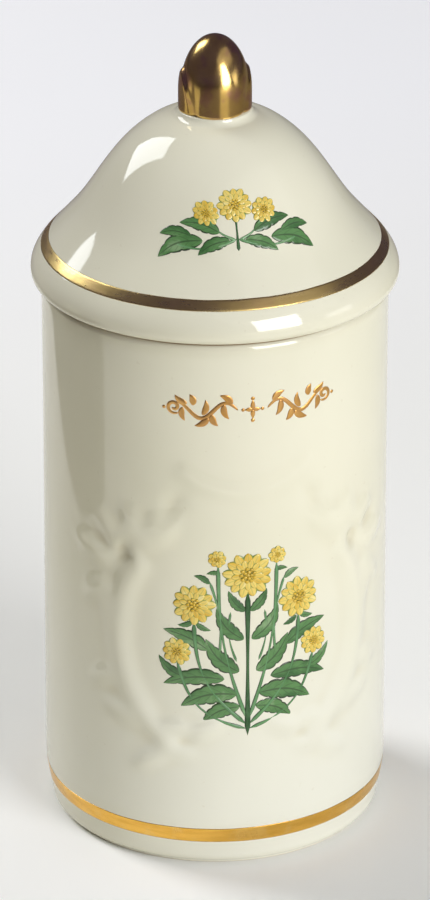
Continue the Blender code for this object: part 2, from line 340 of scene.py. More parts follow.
def formula(operation, reflected=False):
    """A method of a wire that adds this Math node, with its values turned round if reflected."""
    def method(self, *others):
        values = (self, *others)
        inputs = values[::-1] if reflected else values
        return self.nodes.add("ShaderNodeMath", {"operation": operation}, inputs)
    return method


class Wire:
    """An output socket. A sum on it adds the Math node that works it out."""

    def __init__(self, nodes, socket):
        self.nodes = nodes
        self.socket = socket

    __add__ = __radd__ = formula("ADD")
    __sub__ = formula("SUBTRACT")
    __rsub__ = formula("SUBTRACT", reflected=True)
    __mul__ = __rmul__ = formula("MULTIPLY")
    __pow__ = formula("POWER")
    size = formula("ABSOLUTE")
    sine = formula("SINE")
    most = formula("MAXIMUM")
    bearing = formula("ARCTAN2")

    def step(self, low, high):
        """0 below low, 1 above high and an S-curve between them; high may be the smaller."""
        values = {"Value": self, "From Min": low, "From Max": high}
        return self.nodes.add("ShaderNodeMapRange", {"interpolation_type": "SMOOTHSTEP"}, values)


class Nodes:
    """A tree of nodes, and one method that adds any of them."""

    def __init__(self, tree):
        self.tree = tree

    def add(self, kind, settings=None, inputs=None, output=0):
        """A node of this type, with its settings made first, then the values or links it takes."""
        made = self.tree.nodes.new(kind)
        for key, value in (settings or {}).items():
            setattr(made, key, value)
        pairs = inputs.items() if isinstance(inputs, dict) else enumerate(inputs or ())
        for key, value in pairs:
            if isinstance(value, Wire):
                self.tree.links.new(value.socket, made.inputs[key])
            else:
                made.inputs[key].default_value = value
        return Wire(self, made.outputs[output] if made.outputs else None)


class Finish(Nodes):
    """A material with a Principled shader."""

    def __init__(self, name, constants=None):
        self.material = bpy.data.materials.new(name)
        self.material.use_nodes = True
        super().__init__(self.material.node_tree)
        self.shader = self.tree.nodes["Principled BSDF"]
        for socket, value in (constants or {}).items():
            self.shader.inputs[socket].default_value = value

    def mix(self, share, first, second):
        """The first colour at 0 and the second at 1."""
        first, second = (c if isinstance(c, Wire) else (*c, 1.0) for c in (first, second))
        values = {0: share, 6: first, 7: second}
        return self.add("ShaderNodeMix", {"data_type": "RGBA"}, values, output=2)

    def place(self, scale=(1, 1, 1)):
        """Object coordinates in metres, stretched by the scale."""
        made = self.add("ShaderNodeTexCoord", output=3)
        return self.add("ShaderNodeMapping", None, {"Vector": made, "Scale": scale})

    def noise(self, scale, detail=3.0, place=None):
        values = {"Vector": place or self.place(), "Scale": scale, "Detail": detail}
        return self.add("ShaderNodeTexNoise", None, values)

    def parts(self, vector):
        """The three parts of a vector, as wires."""
        return [self.add("ShaderNodeSeparateXYZ", None, (vector,), output=i) for i in range(3)]

    def bump(self, height, distance):
        return self.add("ShaderNodeBump", None, {"Height": height, "Distance": distance})

    def wear(self, **wires):
        """Links wires to the shader's sockets."""
        names = {"colour": "Base Color", "roughness": "Roughness", "normal": "Normal",
                 "emission": "Emission Color"}
        for key, wire in wires.items():
            self.tree.links.new(wire.socket, self.shader.inputs[names[key]])
        return self.material


# Heights between which the glaze grows paler and cooler towards the foot, ends at the foot and has
# a dark brown line of painted shade along the seam, and between which the bud's gold grows duller
PALER_TOWARDS_FOOT = (48 * MM, 4 * MM)
BARE_FOOT = (0.32 * MM, 0.12 * MM)
BARE_SEAM_SHADE_BOTTOM = (BODY_HEIGHT - 0.27 * MM, BODY_HEIGHT - 0.17 * MM)
BARE_SEAM_SHADE_TOP = (LID_SEAT + 0.10 * MM, LID_SEAT + 0.02 * MM)
DULL_BUD = (100.5 * MM, 103.5 * MM)


def ivory_glaze():
    """Warm ivory glaze, a little deeper where it pools in the relief, paler and cooler towards the
    foot, bare on the foot ring, and with a thin dark brown line where the jar's lip and the lid's
    seat face each other: a bare, rough edge of the glaze, darkened further with painted shade of
    the seam."""
    f = Finish("ivory_glaze", {"IOR": 1.6})
    cloud = f.noise(55, 2)
    speck = f.noise(1400, 1).step(0.74, 0.8)
    pool = f.add("ShaderNodeAttribute", {"attribute_name": "tint"}, output=2)
    glaze = f.mix(cloud.step(0.35, 0.65), (0.785, 0.78, 0.642), (0.81, 0.803, 0.672))
    height = f.parts(f.place())[2]
    # paler and cooler towards the foot
    glaze = f.mix(height.step(*PALER_TOWARDS_FOOT), glaze, (0.795, 0.808, 0.745))
    glaze = f.mix(pool.step(0, 1) * 0.5, glaze, (0.66, 0.62, 0.46))
    glaze = f.mix(speck * 0.1, glaze, (0.45, 0.36, 0.22))
    bare = height.step(*BARE_FOOT)
    grain = f.noise(4200, 2)
    glaze = f.mix(bare, glaze, (0.78, 0.75, 0.68))
    # painted shade: a dark brown line along the seam between lip and seat, on a bare, rough edge
    seat = height.step(*BARE_SEAM_SHADE_BOTTOM) * height.step(*BARE_SEAM_SHADE_TOP)
    glaze = f.mix(seat * 0.9, glaze, (0.34, 0.23, 0.12))
    roughness = 0.05 + cloud * 0.03 + bare * 0.6 + seat * 0.5
    surface = f.noise(230, 1) * 0.004 + grain * bare * 0.03
    return f.wear(colour=glaze, roughness=roughness, normal=f.bump(surface, MM))


def gilding(name, light, deep, lustre, roughness, stretch=1, lustre_share=0.5, dull=None):
    """Fired gold: mottled between two tones, with worn patches of a darker lustre, with brushed
    streaks where stretch is above 1, and growing duller between two heights if they are given."""
    f = Finish(name, {"Metallic": 1.0})
    place = f.place((1, 1, stretch))
    mottle = f.noise(260, 3, place)
    fine = f.noise(1500, 2, place)
    patch = f.noise(430, 4)
    colour = f.mix(mottle.step(0.32, 0.68), light, deep)
    colour = f.mix(patch.step(0.48, 0.66) * lustre_share, colour, lustre)
    colour = f.mix(fine.step(0.62, 0.75) * 0.3, colour, deep)
    polish = roughness * (
        0.95 + (mottle - 0.5) * 0.6 + (fine - 0.5) * 0.3 + patch.step(0.5, 0.7) * 0.2)
    if dull:
        polish = polish * (1 + 0.45 * f.parts(f.place())[2].step(*dull))
    return f.wear(colour=colour, roughness=polish, normal=f.bump(fine, 0.004 * MM))


def enamel(name, light, middle, deep, outline, edge=0.82, rib=0, veins=0):
    """Raised enamel: three tones brushed together, a thin dark line along each edge, and a midrib
    and side veins where a share is given. The uv's v runs across the stroke, 0.5 at its middle."""
    f = Finish(name)
    along, across, _ = f.parts(f.add("ShaderNodeUVMap"))
    tint = f.add("ShaderNodeAttribute", {"attribute_name": "tint"}, output=2)
    side = across * 2 - 1
    aside = side.size()
    brush = f.noise(380)
    wash = f.noise(900, 2)
    shade = brush * 0.85 + tint * 0.25 + side * 0.14 + wash * 0.35 - aside * 0.12
    colour = f.mix(shade.step(0.42, 0.78), deep, middle)
    colour = f.mix(shade.step(0.8, 1.05) * 0.9, colour, light)
    drawn = aside.step(edge - 0.05, edge + 0.06) * (0.75 + wash.step(0.35, 0.6) * 0.25)
    if rib:
        drawn = drawn.most(aside.step(0.15, 0.04) * along.step(1, 0.9) * rib)
    if veins:
        slant = ((along * 5.5 - aside * 1.5) * TURN).sine()
        drawn = drawn.most(slant.step(0.8, 0.97) * aside.step(0.85, 0.6) * veins)
    colour = f.mix(drawn, colour, outline)
    roughness = 0.08 + brush * 0.12
    return f.wear(colour=colour, roughness=roughness, normal=f.bump(brush, 0.015 * MM))


def soft_seal():
    """Milky seal rubber with a faint bloom."""
    f = Finish("soft_seal", {"Subsurface Weight": 0.2, "Transmission Weight": 0.15})
    bloom = f.noise(300)
    colour = f.mix(bloom, (0.84, 0.83, 0.78), (0.9, 0.89, 0.85))
    return f.wear(colour=colour, roughness=0.36 + bloom * 0.16, normal=f.bump(bloom, 0.02 * MM))


# Laying flat drawings onto the pieces

def wall_swell(height):
    """How far the wall stands out from a straight one: an S-curve down to the full swell, less a
    draw that grows down to the heel by a power of the share of the way. Both fade out round the
    heel as a quarter circle does, which leaves it a quarter of an ellipse."""
    climb = np.clip((height - FOOT_RING_HEIGHT) / HEEL_ROUND, 0, 1)
    swell = smooth_share((WALL_SWELL_TOP - height) / (WALL_SWELL_TOP - WALL_SWELL_FULL))
    depth = (WALL_DRAW_TOP - height) / (WALL_DRAW_TOP - FOOT_RING_HEIGHT - HEEL_ROUND)
    draw = np.clip(depth, 0, 1) ** WALL_DRAW_EASE
    return (WALL_SWELL * swell - WALL_DRAW * draw) * np.sqrt(climb * (2 - climb))


def on_wall(across, up, proud):
    """The jar's wall unrolled: the angle is across / radius, from the front."""
    return around(across / BODY_RADIUS, BODY_RADIUS + wall_swell(up) + proud, up)


# The relief, drawn on the unrolled wall in millimetres

def spiral_path(centre, radius, start, turns, steps=29):
    """A scroll's eye: the radius shrinks evenly to a fifth as the angle goes round."""
    reach = radius * np.linspace(1, 0.2, steps + 1)[:, None]
    return arc(centre, reach, start, start + 360 * turns, steps)


def ridge(across, up, path, half_width):
    """1 on a path and 0 from half_width away: (1 - q * q) squared, where q is the distance to
    the nearest point of the path in half widths."""
    width = np.broadcast_to(half_width, len(path))
    nearest = np.full(across.shape, 9.0)
    for (x, y), w in zip(path, width):
        np.minimum(nearest, ((across - x) ** 2 + (up - y) ** 2) / w ** 2, out=nearest)
    return np.clip(1 - nearest, 0, 1) ** 2


def along_and_aside(across, up, base, angle):
    """Coordinates counted from the base, along this direction and square to it."""
    turn, x, y = math.radians(angle), across - base[0], up - base[1]
    return x * math.cos(turn) + y * math.sin(turn), y * math.cos(turn) - x * math.sin(turn)


def relief_leaf(across, up, base, angle, length, width):
    """A moulded leaf from its base: 1 - q * q over an oval, with a furrow along its midrib."""
    x, y = along_and_aside(across, up, base, angle)
    t = np.clip(x / length, 0, 1)
    half = width / 2 * np.sin(math.pi * t ** 0.75) ** 0.7 + 1e-9
    inside = np.clip(1 - (y / half) ** 2, 0, 1) * (x > 0) * (x < length)
    furrow = np.exp(-(y / (0.12 * width)) ** 2)
    return inside * np.minimum(1, 6 * t) * (1 - 0.45 * furrow)


def wreath(across, up):
    """Half of the moulded wreath, for across < 0: a broad C-scroll that ends in two volutes, big
    leaves fanned out on its shoulder and along it, and a festoon that meets the other half."""
    arm = arc((0, 32.8), (17, 17.6), 243, 146, 39)
    width = np.interp(np.linspace(0, 1, len(arm)), [0, 0.3, 0.7, 1], [1.3, 2.7, 2.9, 2])
    raised = 0.85 * ridge(across, up, arm, width)
    volutes = (((-9, 19.2), 2.6, 300, -1.1, 1.1), ((-15.4, 44.4), 3, 30, 1.1, 1.3))
    for *scroll, wide in volutes:
        eye = spiral_path(*scroll)
        raised = np.maximum(raised, 0.8 * ridge(across, up, eye, wide))
    festoon = arc((0, 64.5), (11.5, 10.6), 226, 268, 39)
    raised = np.maximum(raised, 0.42 * ridge(across, up, festoon, 1.3))
    # Each leaf's base, angle, length and width
    for leaf_at in (
        ((-13, 45.4), 58, 8.4, 4.4), ((-14.8, 46), 92, 5.4, 3.8),
        ((-17, 45.2), 130, 5, 3.6), ((-18, 42.6), 172, 6.4, 3.8),
        ((-17.8, 39.6), 216, 6.2, 3.4), ((-16.6, 31.6), 118, 7.4, 3),
        ((-16.6, 27), 205, 6, 3), ((-12.6, 20.6), 168, 7.4, 3.4),
        ((-9.6, 17.4), 214, 6.4, 3), ((-7.6, 19.2), 22, 5.4, 2.4),
    ):
        raised = np.maximum(raised, 0.8 * relief_leaf(across, up, *leaf_at))
    # Each pit's centre, angle, length, width and depth
    for centre, angle, length, wide, depth in (
        ((-16.3, 43.7), 0, 1.3, 1.3, 1.5), ((-9.6, 51.2), 60, 2.1, 0.9, 1),
        ((-8.1, 18.3), 70, 1.2, 0.8, 1), ((-19.6, 45), 150, 1.5, 0.8, 0.8),
    ):
        x, y = along_and_aside(across, up, centre, angle)
        raised = raised - depth * np.exp(-(x / length) ** 2 - (y / wide) ** 2)
    return raised


def blurred(field, taps):
    """Each value averaged with its neighbours by a short bell, up and down and then round."""
    weights = np.exp(-0.5 * (np.arange(-taps, taps + 1) / (taps / 2)) ** 2)
    weights /= weights.sum()
    rows = np.pad(field, ((taps, taps), (0, 0)), "edge")
    field = sum(weight * rows[i:i + len(field)] for i, weight in enumerate(weights))
    return sum(weight * np.roll(field, i - taps, 1) for i, weight in enumerate(weights))


def relief(angle, height):
    """The wreath on the front and again on the back, each half mirrored from the other."""
    turn = np.mod(angle + math.pi / 2, math.pi) - math.pi / 2
    across, up = np.broadcast_arrays(-np.abs(turn) * BODY_RADIUS / MM, height / MM)
    return blurred(wreath(across, up), RELIEF_BLUR_TAPS)


# Jar

def jar_outline():
    """From the middle of the underside out, up the wall, over the lip and down to the floor."""
    heel = BODY_RADIUS - HEEL_ROUND
    foot_outer = heel - FOOT_RING_INSET
    foot_inner = foot_outer - FOOT_RING_WIDTH
    floor = BASE_RECESS_DEPTH + FLOOR_THICKNESS
    underside = joined(
        line((foot_inner - BASE_RECESS_RUN, BASE_RECESS_DEPTH), (foot_inner, 0), 3),
        line((foot_inner, 0), (foot_outer, 0), 5),
        line((foot_outer, 0), (foot_outer, FOOT_RING_HEIGHT), 3),
        arc((heel, FOOT_RING_HEIGHT + HEEL_ROUND), HEEL_ROUND, -90, 0, 12),
    )
    foot = softened(underside, 0.16 * MM, 0.10 * MM)
    lip_centre = (BODY_RADIUS - LIP_OUTER_ROUND, BODY_HEIGHT - LIP_OUTER_ROUND)
    lip = arc(lip_centre, LIP_OUTER_ROUND, 0, 90)
    inner = (MOUTH_RADIUS + LIP_INNER_ROUND, BODY_HEIGHT - LIP_INNER_ROUND)
    corner = (MOUTH_RADIUS - FLOOR_CORNER_RADIUS, floor + FLOOR_CORNER_RADIUS)
    return joined(
        [[0, BASE_RECESS_DEPTH]],
        foot,
        line(foot[-1], (BODY_RADIUS, RELIEF_BOTTOM), 16),
        line((BODY_RADIUS, RELIEF_BOTTOM), (BODY_RADIUS, RELIEF_TOP), 132),
        line((BODY_RADIUS, RELIEF_TOP), lip[0], 10),
        lip,
        arc(inner, LIP_INNER_ROUND, 90, 180, 6),
        line((MOUTH_RADIUS, inner[1]), (MOUTH_RADIUS, corner[1]), 6),
        arc(corner, FLOOR_CORNER_RADIUS, 0, -90),
        [[0, floor]],
    )


def gilt_band(radius, middle, width, waves, lay):
    """A flat band once round, whose middle and width sway a little, as under a brush: by a sum of
    three sines of the angle, each given by its number of waves and its shift."""
    angle = ring_angles(BAND_STEPS)[0]
    sway = BAND_SWAY * sum(share * np.sin(count * angle + shift)
                           for share, (count, shift) in zip((1, 0.6, 0.4), waves))
    path = np.stack([angle * radius, middle + 0.3 * sway], 1)
    return stroke(path, width / 2 + 0.5 * sway, BAND_RISE, lay, sides=16, looped=True, flat=0.25)


def make_jar(glaze, gilt):
    """The wall is raised by the relief, and the glaze pools where that lies below its blur."""
    outline = jar_outline()
    height = outline[1:-1, 1:]
    outside = np.cumsum(height >= BODY_HEIGHT - 1e-9, axis=0) == 0
    field = relief(ring_angles(JAR_TURN_STEPS), height) * outside
    jar = turned(outline, JAR_TURN_STEPS, RELIEF_HEIGHT * field + wall_swell(height) * outside)
    hollow = POOL_GAIN * (blurred(field, POOL_BLUR_TAPS) - field)
    jar["tint"][:-2] = np.clip(hollow, 0, 1).ravel()
    make_piece("jar_porcelain", [jar], glaze, "jar", "jar_body")
    middle = JAR_BAND_BOTTOM + JAR_BAND_WIDTH / 2
    band = gilt_band(BODY_RADIUS, middle, JAR_BAND_WIDTH, ((3, 1), (11, 0), (29, 2)), on_wall)
    make_piece("jar_gilt_band", [band], gilt, "jar")


# Lid

def lid_outside():
    """The rolled rim, whose wall leans in ever more as it climbs (the radius falls by the running
    sum of the lean's tangent), the gilt band's stretch, the flare and the crown, softened by the
    glaze. Towards the bud the crown is eased down by the square of the way inwards."""
    lower = quarter_curve(
        (RIM_FOOT_RADIUS, RIM_WIDEST_HEIGHT), RIM_BULGE, -RIM_WIDEST_HEIGHT, RIM_LOWER_SQUARENESS)
    climb = np.linspace(0, RIM_ROLL_TOP - RIM_WIDEST_HEIGHT, 33)
    lean = math.radians(RIM_LEAN) * (1 - (1 - climb / climb[-1]) ** RIM_LEAN_EASE)
    fall = np.concatenate([[0], np.cumsum(np.tan((lean[1:] + lean[:-1]) / 2) * climb[1])])
    upper = np.stack([lower[0, 0] - fall, RIM_WIDEST_HEIGHT + climb], 1)
    foot = (RIM_TOP_RADIUS - LID_BAND_RUN, RIM_TOP_HEIGHT + LID_BAND_RISE)
    waist_height = foot[1] + WAIST_RISE_SHARE * (CROWN_HEIGHT - foot[1])
    waist = (WAIST_RADIUS_SHARE * foot[0], waist_height)
    crown = (KNOB_RADIUS + BUD_MARGIN, CROWN_HEIGHT)
    outside = joined(
        lower[::-1], upper, line(upper[-1], foot, 4),
        sloped_curve(foot, DOME_FOOT_SLOPE, waist, WAIST_SLOPE, FLARE_HANDLE_SHARE),
        sloped_curve(waist, WAIST_SLOPE, crown, CROWN_SLOPE, CROWN_HANDLE_SHARE),
    )
    outside = softened(outside, 0.2 * MM, 0.17 * MM)
    inside = np.clip((CROWN_EASE_RADIUS - outside[:, 0]) / (CROWN_EASE_RADIUS - crown[0]), 0, 1)
    outside[:, 1] += LID_SEAT - CROWN_EASE * inside ** 2
    return outside


LID_OUTSIDE = lid_outside()


def lid_outline():
    """From the middle of the hollow's ceiling out and down the bore, round the plug's tip and
    groove, under the seat, over the rim and up to the fillet at the bud's foot, and down into the
    socket for the knob's tenon."""
    socket_radius = TENON_RADIUS + FITTED_GAP
    socket_floor = CROWN_HEIGHT - TENON_LENGTH - FITTED_GAP
    ceiling = socket_floor - LID_WALL
    flat = socket_radius + LID_WALL
    bore = PLUG_RADIUS - PLUG_WALL
    outside = LID_OUTSIDE - (0, LID_SEAT)
    dome = outside[outside[:, 1] > RIM_TOP_HEIGHT + LID_BAND_RISE]
    inner = (dome + LID_WALL * tangents(dome)[:, ::-1] * (-1, 1))[::-1]
    keep = (inner[:, 0] > flat + LID_WALL / 2) & (inner[:, 1] > LID_WALL) & (inner[:, 1] < ceiling)
    hollow = joined([[0, ceiling], [flat, ceiling]], inner[keep][::3],
                    [[RIM_FOOT_RADIUS - LID_WALL, LID_WALL]])
    hollow = np.vstack([hollow[:1], softened(hollow[1:], 0.5 * MM, 0.5 * MM)])
    plug = joined(
        [[bore, LID_WALL], [bore, -PLUG_LENGTH]],
        arc((PLUG_RADIUS - PLUG_TIP_ROUND, PLUG_TIP_ROUND - PLUG_LENGTH), PLUG_TIP_ROUND, -90, 0),
        [[PLUG_RADIUS, GROOVE_BOTTOM], [GROOVE_RADIUS, GROOVE_BOTTOM], [GROOVE_RADIUS, GROOVE_TOP],
         [PLUG_RADIUS, GROOVE_TOP], [PLUG_RADIUS, 0], [RIM_FOOT_RADIUS, 0]],
    )
    plug = softened(plug, 0.22 * MM, 0.13 * MM)
    under = joined(hollow, plug) + (0, LID_SEAT)
    socket = [[socket_radius, CROWN_HEIGHT], [socket_radius, socket_floor], [0, socket_floor]]
    foot, top = math.radians(FILLET_FOOT_SLOPE), math.radians(FILLET_TOP_SLOPE)
    wide = KNOB_RADIUS + FILLET_RADIUS * (math.sin(top) - math.sin(foot))
    root = np.interp(-wide, -LID_OUTSIDE[:, 0], LID_OUTSIDE[:, 1])
    centre = (wide + FILLET_RADIUS * math.sin(foot), root + FILLET_RADIUS * math.cos(foot))
    fillet = arc(centre, FILLET_RADIUS, -90 - FILLET_FOOT_SLOPE, -90 - FILLET_TOP_SLOPE, 16)
    dome = LID_OUTSIDE[LID_OUTSIDE[:, 0] > wide + 0.02 * MM]
    crown = softened(joined(dome[-4:], fillet), 0.07 * MM, 0.07 * MM)
    return joined(under, dome[:-4], crown, np.array(socket) + (0, LID_SEAT))


DOME_LENGTHS = lengths_along(LID_OUTSIDE)


def on_dome(across, up, proud, about=None):
    """The lid's dome unrolled: up is counted along its slope from the reference height, the
    angle is across / the radius there, or the radius given, and proud is square to the slope."""
    start = np.interp(DOME_REFERENCE, LID_OUTSIDE[:, 1], DOME_LENGTHS)
    parts = np.hstack([LID_OUTSIDE, tangents(LID_OUTSIDE)]).T
    radius, height, run, rise = (np.interp(start + up, DOME_LENGTHS, part) for part in parts)
    angle = across / (radius if about is None else about)
    return around(angle, radius + proud * rise, height - proud * run)


def make_lid(glaze, gilt):
    """The lid, and its gilt band, whose place is counted along the slope."""
    lid = turned(lid_outline(), LID_TURN_STEPS)
    make_piece("lid_porcelain", [lid], glaze, "lid", "lid_dome")
    low, high = LID_SEAT + LID_BAND_FOOT, LID_SEAT + RIM_TOP_HEIGHT + LID_BAND_RISE
    middle = (low + high) / 2
    radii, heights = LID_OUTSIDE.T
    radius = np.interp(middle, heights, radii)
    start, centre, end, reference = np.interp(
        (low, middle, high, DOME_REFERENCE), heights, DOME_LENGTHS)
    band = gilt_band(radius, centre - reference, end - start, ((4, 0), (13, 1), (31, 0)),
                     lambda across, up, proud: on_dome(across, up, proud, radius))
    make_piece("lid_gilt_band", [band], gilt, "lid")


# Seal

def make_seal(finish):
    """The sleeve and its fins: the CAD outline with every corner softened, turned once round."""
    inner = GROOVE_RADIUS + FITTED_GAP
    sleeve = PLUG_RADIUS + FITTED_GAP
    reach = MOUTH_RADIUS - FITTED_GAP
    top = GROOVE_TOP - FITTED_GAP
    bottom = GROOVE_BOTTOM + FITTED_GAP
    pitch = (top - bottom) / FIN_COUNT
    half_root = FIN_ROOT_SHARE * pitch / 2
    half_tip = FIN_TIP_SHARE * pitch / 2
    outline = [(inner, (top + bottom) / 2), (inner, bottom), (sleeve, bottom)]
    for fin in range(FIN_COUNT):
        root = bottom + pitch * (fin + 1 / 2)
        tip = root + FIN_LEAN_SHARE * pitch
        outline += [(sleeve, root - half_root), (reach, tip - half_tip),
                    (reach, tip + half_tip), (sleeve, root + half_root)]
    outline += [(sleeve, top), (inner, top), (inner, (top + bottom) / 2)]
    outline = softened(np.array(outline), 0.08 * MM, 0.07 * MM)[:-1] + (0, LID_SEAT)
    rings = around(ring_angles(SEAL_TURN_STEPS), outline[:, :1], outline[:, 1:])
    make_piece("seal_ring", [skin(rings, looped=True)], finish, "seal", "lid_seal")


# Bud

def petal_cover(angle, climb, middle, tip_share, spread, blend_share):
    """How far a petal covers what is under it: an S-curve across its edge, wider at its sides,
    which narrows to the tip as 1 - (aside / spread) to the power of its pointedness. The petal
    itself thins out sideways as 1 - the square of aside / spread."""
    away = np.abs(np.mod(angle - math.radians(middle) + math.pi, TURN) - math.pi)
    aside = np.minimum(1, away / math.radians(spread))
    edge = tip_share * (1 - aside ** PETAL_POINTEDNESS)
    blend = blend_share * (1 + PETAL_SIDE_SOFTNESS * aside ** 2)
    return smooth_share((edge - climb) / blend + 0.5) * (1 - aside ** 2)


def make_bud(gilt):
    """The bud's core is drawn in as the root of 1 - above squared, and its two layers of petals
    lie on it. Its foot is lobed: it dips at each petal's middle and lifts between petals."""
    angle = ring_angles(BUD_STEPS)
    climb = np.sin(np.linspace(0, math.pi / 2, BUD_ROWS + 1)[:-1, None]) + 0 * angle
    above = np.clip(climb - BUD_SHOULDER_SHARE, 0, None) / (1 - BUD_SHOULDER_SHARE)
    core = (KNOB_RADIUS - 2 * PETAL_THICKNESS) * np.sqrt(np.clip(1 - above ** BUD_FULLNESS, 0, 1))
    inner, outer = (
        np.maximum(*(petal_cover(angle, climb, middle, *petal) for middle in middles))
        for middles, petal in (
            ((0, 180), (INNER_TIP_SHARE, INNER_PETAL_SPREAD, INNER_BLEND_SHARE)),
            ((-90, 90), (OUTER_TIP_SHARE, OUTER_PETAL_SPREAD, OUTER_BLEND_SHARE)),
        )
    )
    radius = core + PETAL_THICKNESS * (inner + (2 - inner) * outer)
    lobe = np.abs(np.cos(2 * angle)) ** 0.6
    foot = LID_SEAT + CROWN_HEIGHT + FITTED_GAP
    height = foot - BUD_FOOT_DIP * lobe * (1 - climb) ** 6 + KNOB_HEIGHT * climb
    below = np.clip(1 - climb * KNOB_HEIGHT / BUD_FOOT_ROUND_HEIGHT, 0, 1)
    bud = around(angle, radius - BUD_FOOT_ROUND * below ** 2.2, height)
    tenon = [around(angle, TENON_RADIUS, foot - drop) for drop in (TENON_LENGTH, 0.1 * MM)]
    rings = np.concatenate([*tenon, bud])
    poles = [[0, 0, foot - TENON_LENGTH], [0, 0, foot + KNOB_HEIGHT]]
    make_piece("lid_bud", [skin(rings, poles)], gilt, "lid", "lid_knob", crisp=50)


# Drawings in enamel and gold

def bend(start, end, sag, count=24):
    """A path between two points that bows sideways by sag, a share of its length, as a sine."""
    t = np.linspace(0, 1, count)[:, None]
    run = np.array(end) - np.array(start)
    aside = np.array([-run[1], run[0]])
    return np.array(start) + run * t + aside * sag * np.sin(math.pi * t)


def leaf(start, end, sag, widest, lay, tint=0.0, scallops=0):
    """A leaf as wide as the sine of the share of its length to the power of 0.75, with shallow
    scallops cut as one minus the size of a sine."""
    path = bend(start, end, sag, 56 if scallops else 24)
    t = np.linspace(0, 1, len(path))
    cut = 0.16 * (1 - np.abs(np.sin(math.pi * scallops * t ** 0.9))) ** 2 if scallops else 0
    width = widest * np.sin(math.pi * t ** 0.75) ** 0.85 * (1 - cut) + 0.001 * MM
    height = np.minimum(ENAMEL_RISE, width * 0.5)
    return stroke(path, width, height, lay, sides=16, tint=tint, flat=0.7)


def stem(start, end, sag, wide, lay, tint=0.0):
    """As wide as 0.75 + 0.25 * the cosine of one turn along it, and cut short at its ends."""
    path = bend(start, end, sag, 30)
    t = np.linspace(0, 1, len(path))
    ends = np.minimum(1, 14 * t) * np.minimum(1, 14 * (1 - t))
    width = np.maximum(wide * (0.75 + 0.25 * np.cos(TURN * t)) * ends, 0.002 * MM)
    return stroke(path, width, 0.55 * width, lay, sides=10, tint=tint)


def dot(centre, radius, lay, tint=0.0, high=0.6):
    """A round drop of enamel: a short stroke as wide as it is long."""
    path = arc(centre, (radius, 0), 180, 0, 8)
    width = radius * np.sin(np.linspace(0, math.pi, 9)) + 1e-7
    return stroke(path, width, high * width, lay, sides=10, tint=tint)


def petal(centre, angle, start, end, wide, lay, tint, rise, base=0.0):
    """A petal from start to end out from the centre, widest beyond its middle."""
    centre, way = np.array(centre), np.array([math.cos(angle), math.sin(angle)])
    path = bend(centre + start * way, centre + end * way, 0.06 * (tint - 0.5), 14)
    t = np.linspace(0, 1, len(path))
    width = wide * np.sin(math.pi * t ** 1.5) ** 0.7 + 1e-7
    high = np.minimum(rise, 0.6 * width)
    return stroke(path, width, high, lambda a, u, p: lay(a, u, p + base), sides=12, tint=tint)


def blossom(centre, radius, petals, turn, lay):
    """Round-tipped petals, a shorter ring of them within, and a heart of small drops."""
    outer, hearts = [], []
    for i in range(petals):
        angle, tint = math.radians(turn) + TURN * i / petals, (i * GOLDEN_SHARE) % 1
        outer.append(petal(centre, angle, 0.16 * radius, (0.93 + 0.1 * tint) * radius,
                           2.9 * radius / petals, lay, tint, 1.3 * ENAMEL_RISE))
        outer.append(petal(centre, angle + math.pi / petals, 0.12 * radius, 0.66 * radius,
                           1.9 * radius / petals, lay, 1 - tint, ENAMEL_RISE, 0.9 * ENAMEL_RISE))
    drops = [(reach, TURN * i / count + reach * 9)
             for count, reach in ((1, 0), (5, 0.14), (9, 0.27)) for i in range(count)]
    for i, (reach, way) in enumerate(drops):
        place = (centre[0] + radius * reach * math.cos(way),
                 centre[1] + radius * reach * math.sin(way))
        hearts.append(dot(place, 0.085 * radius, lambda a, u, p: lay(a, u, p + 1.6 * ENAMEL_RISE),
                          tint=(i * GOLDEN_SHARE) % 1, high=0.7))
    return outer, hearts


def drawing(lay, middle, stems, leaves, blossoms, scallops):
    """The four lists of strokes of an ornament, drawn in millimetres from its middle: each stem
    and leaf by its start, end, sag and width, on both sides of the middle, and each blossom by
    its centre, radius, number of petals and turn."""
    def at(side, point):
        return (middle[0] + side * point[0] * MM, middle[1] + point[1] * MM)

    drawn_stems, drawn_leaves, rays, hearts = [], [], [], []
    for side in (-1, 1):
        for start, end, sag, wide in stems:
            drawn_stems.append(stem(at(side, start), at(side, end), -side * sag, wide * MM, lay,
                                    0.5 + 0.4 * math.sin(5 * end[1])))
        for start, end, sag, wide in leaves:
            drawn_leaves.append(leaf(at(side, start), at(side, end), side * sag, wide * MM, lay,
                                     0.5 + 0.5 * math.sin(7 * end[1] + side), scallops=scallops))
    for centre, radius, petals, turn in blossoms:
        more_rays, more_hearts = blossom(at(1, centre), radius * MM, petals, turn, lay)
        rays += more_rays
        hearts += more_hearts
    return drawn_stems, drawn_leaves, rays, hearts


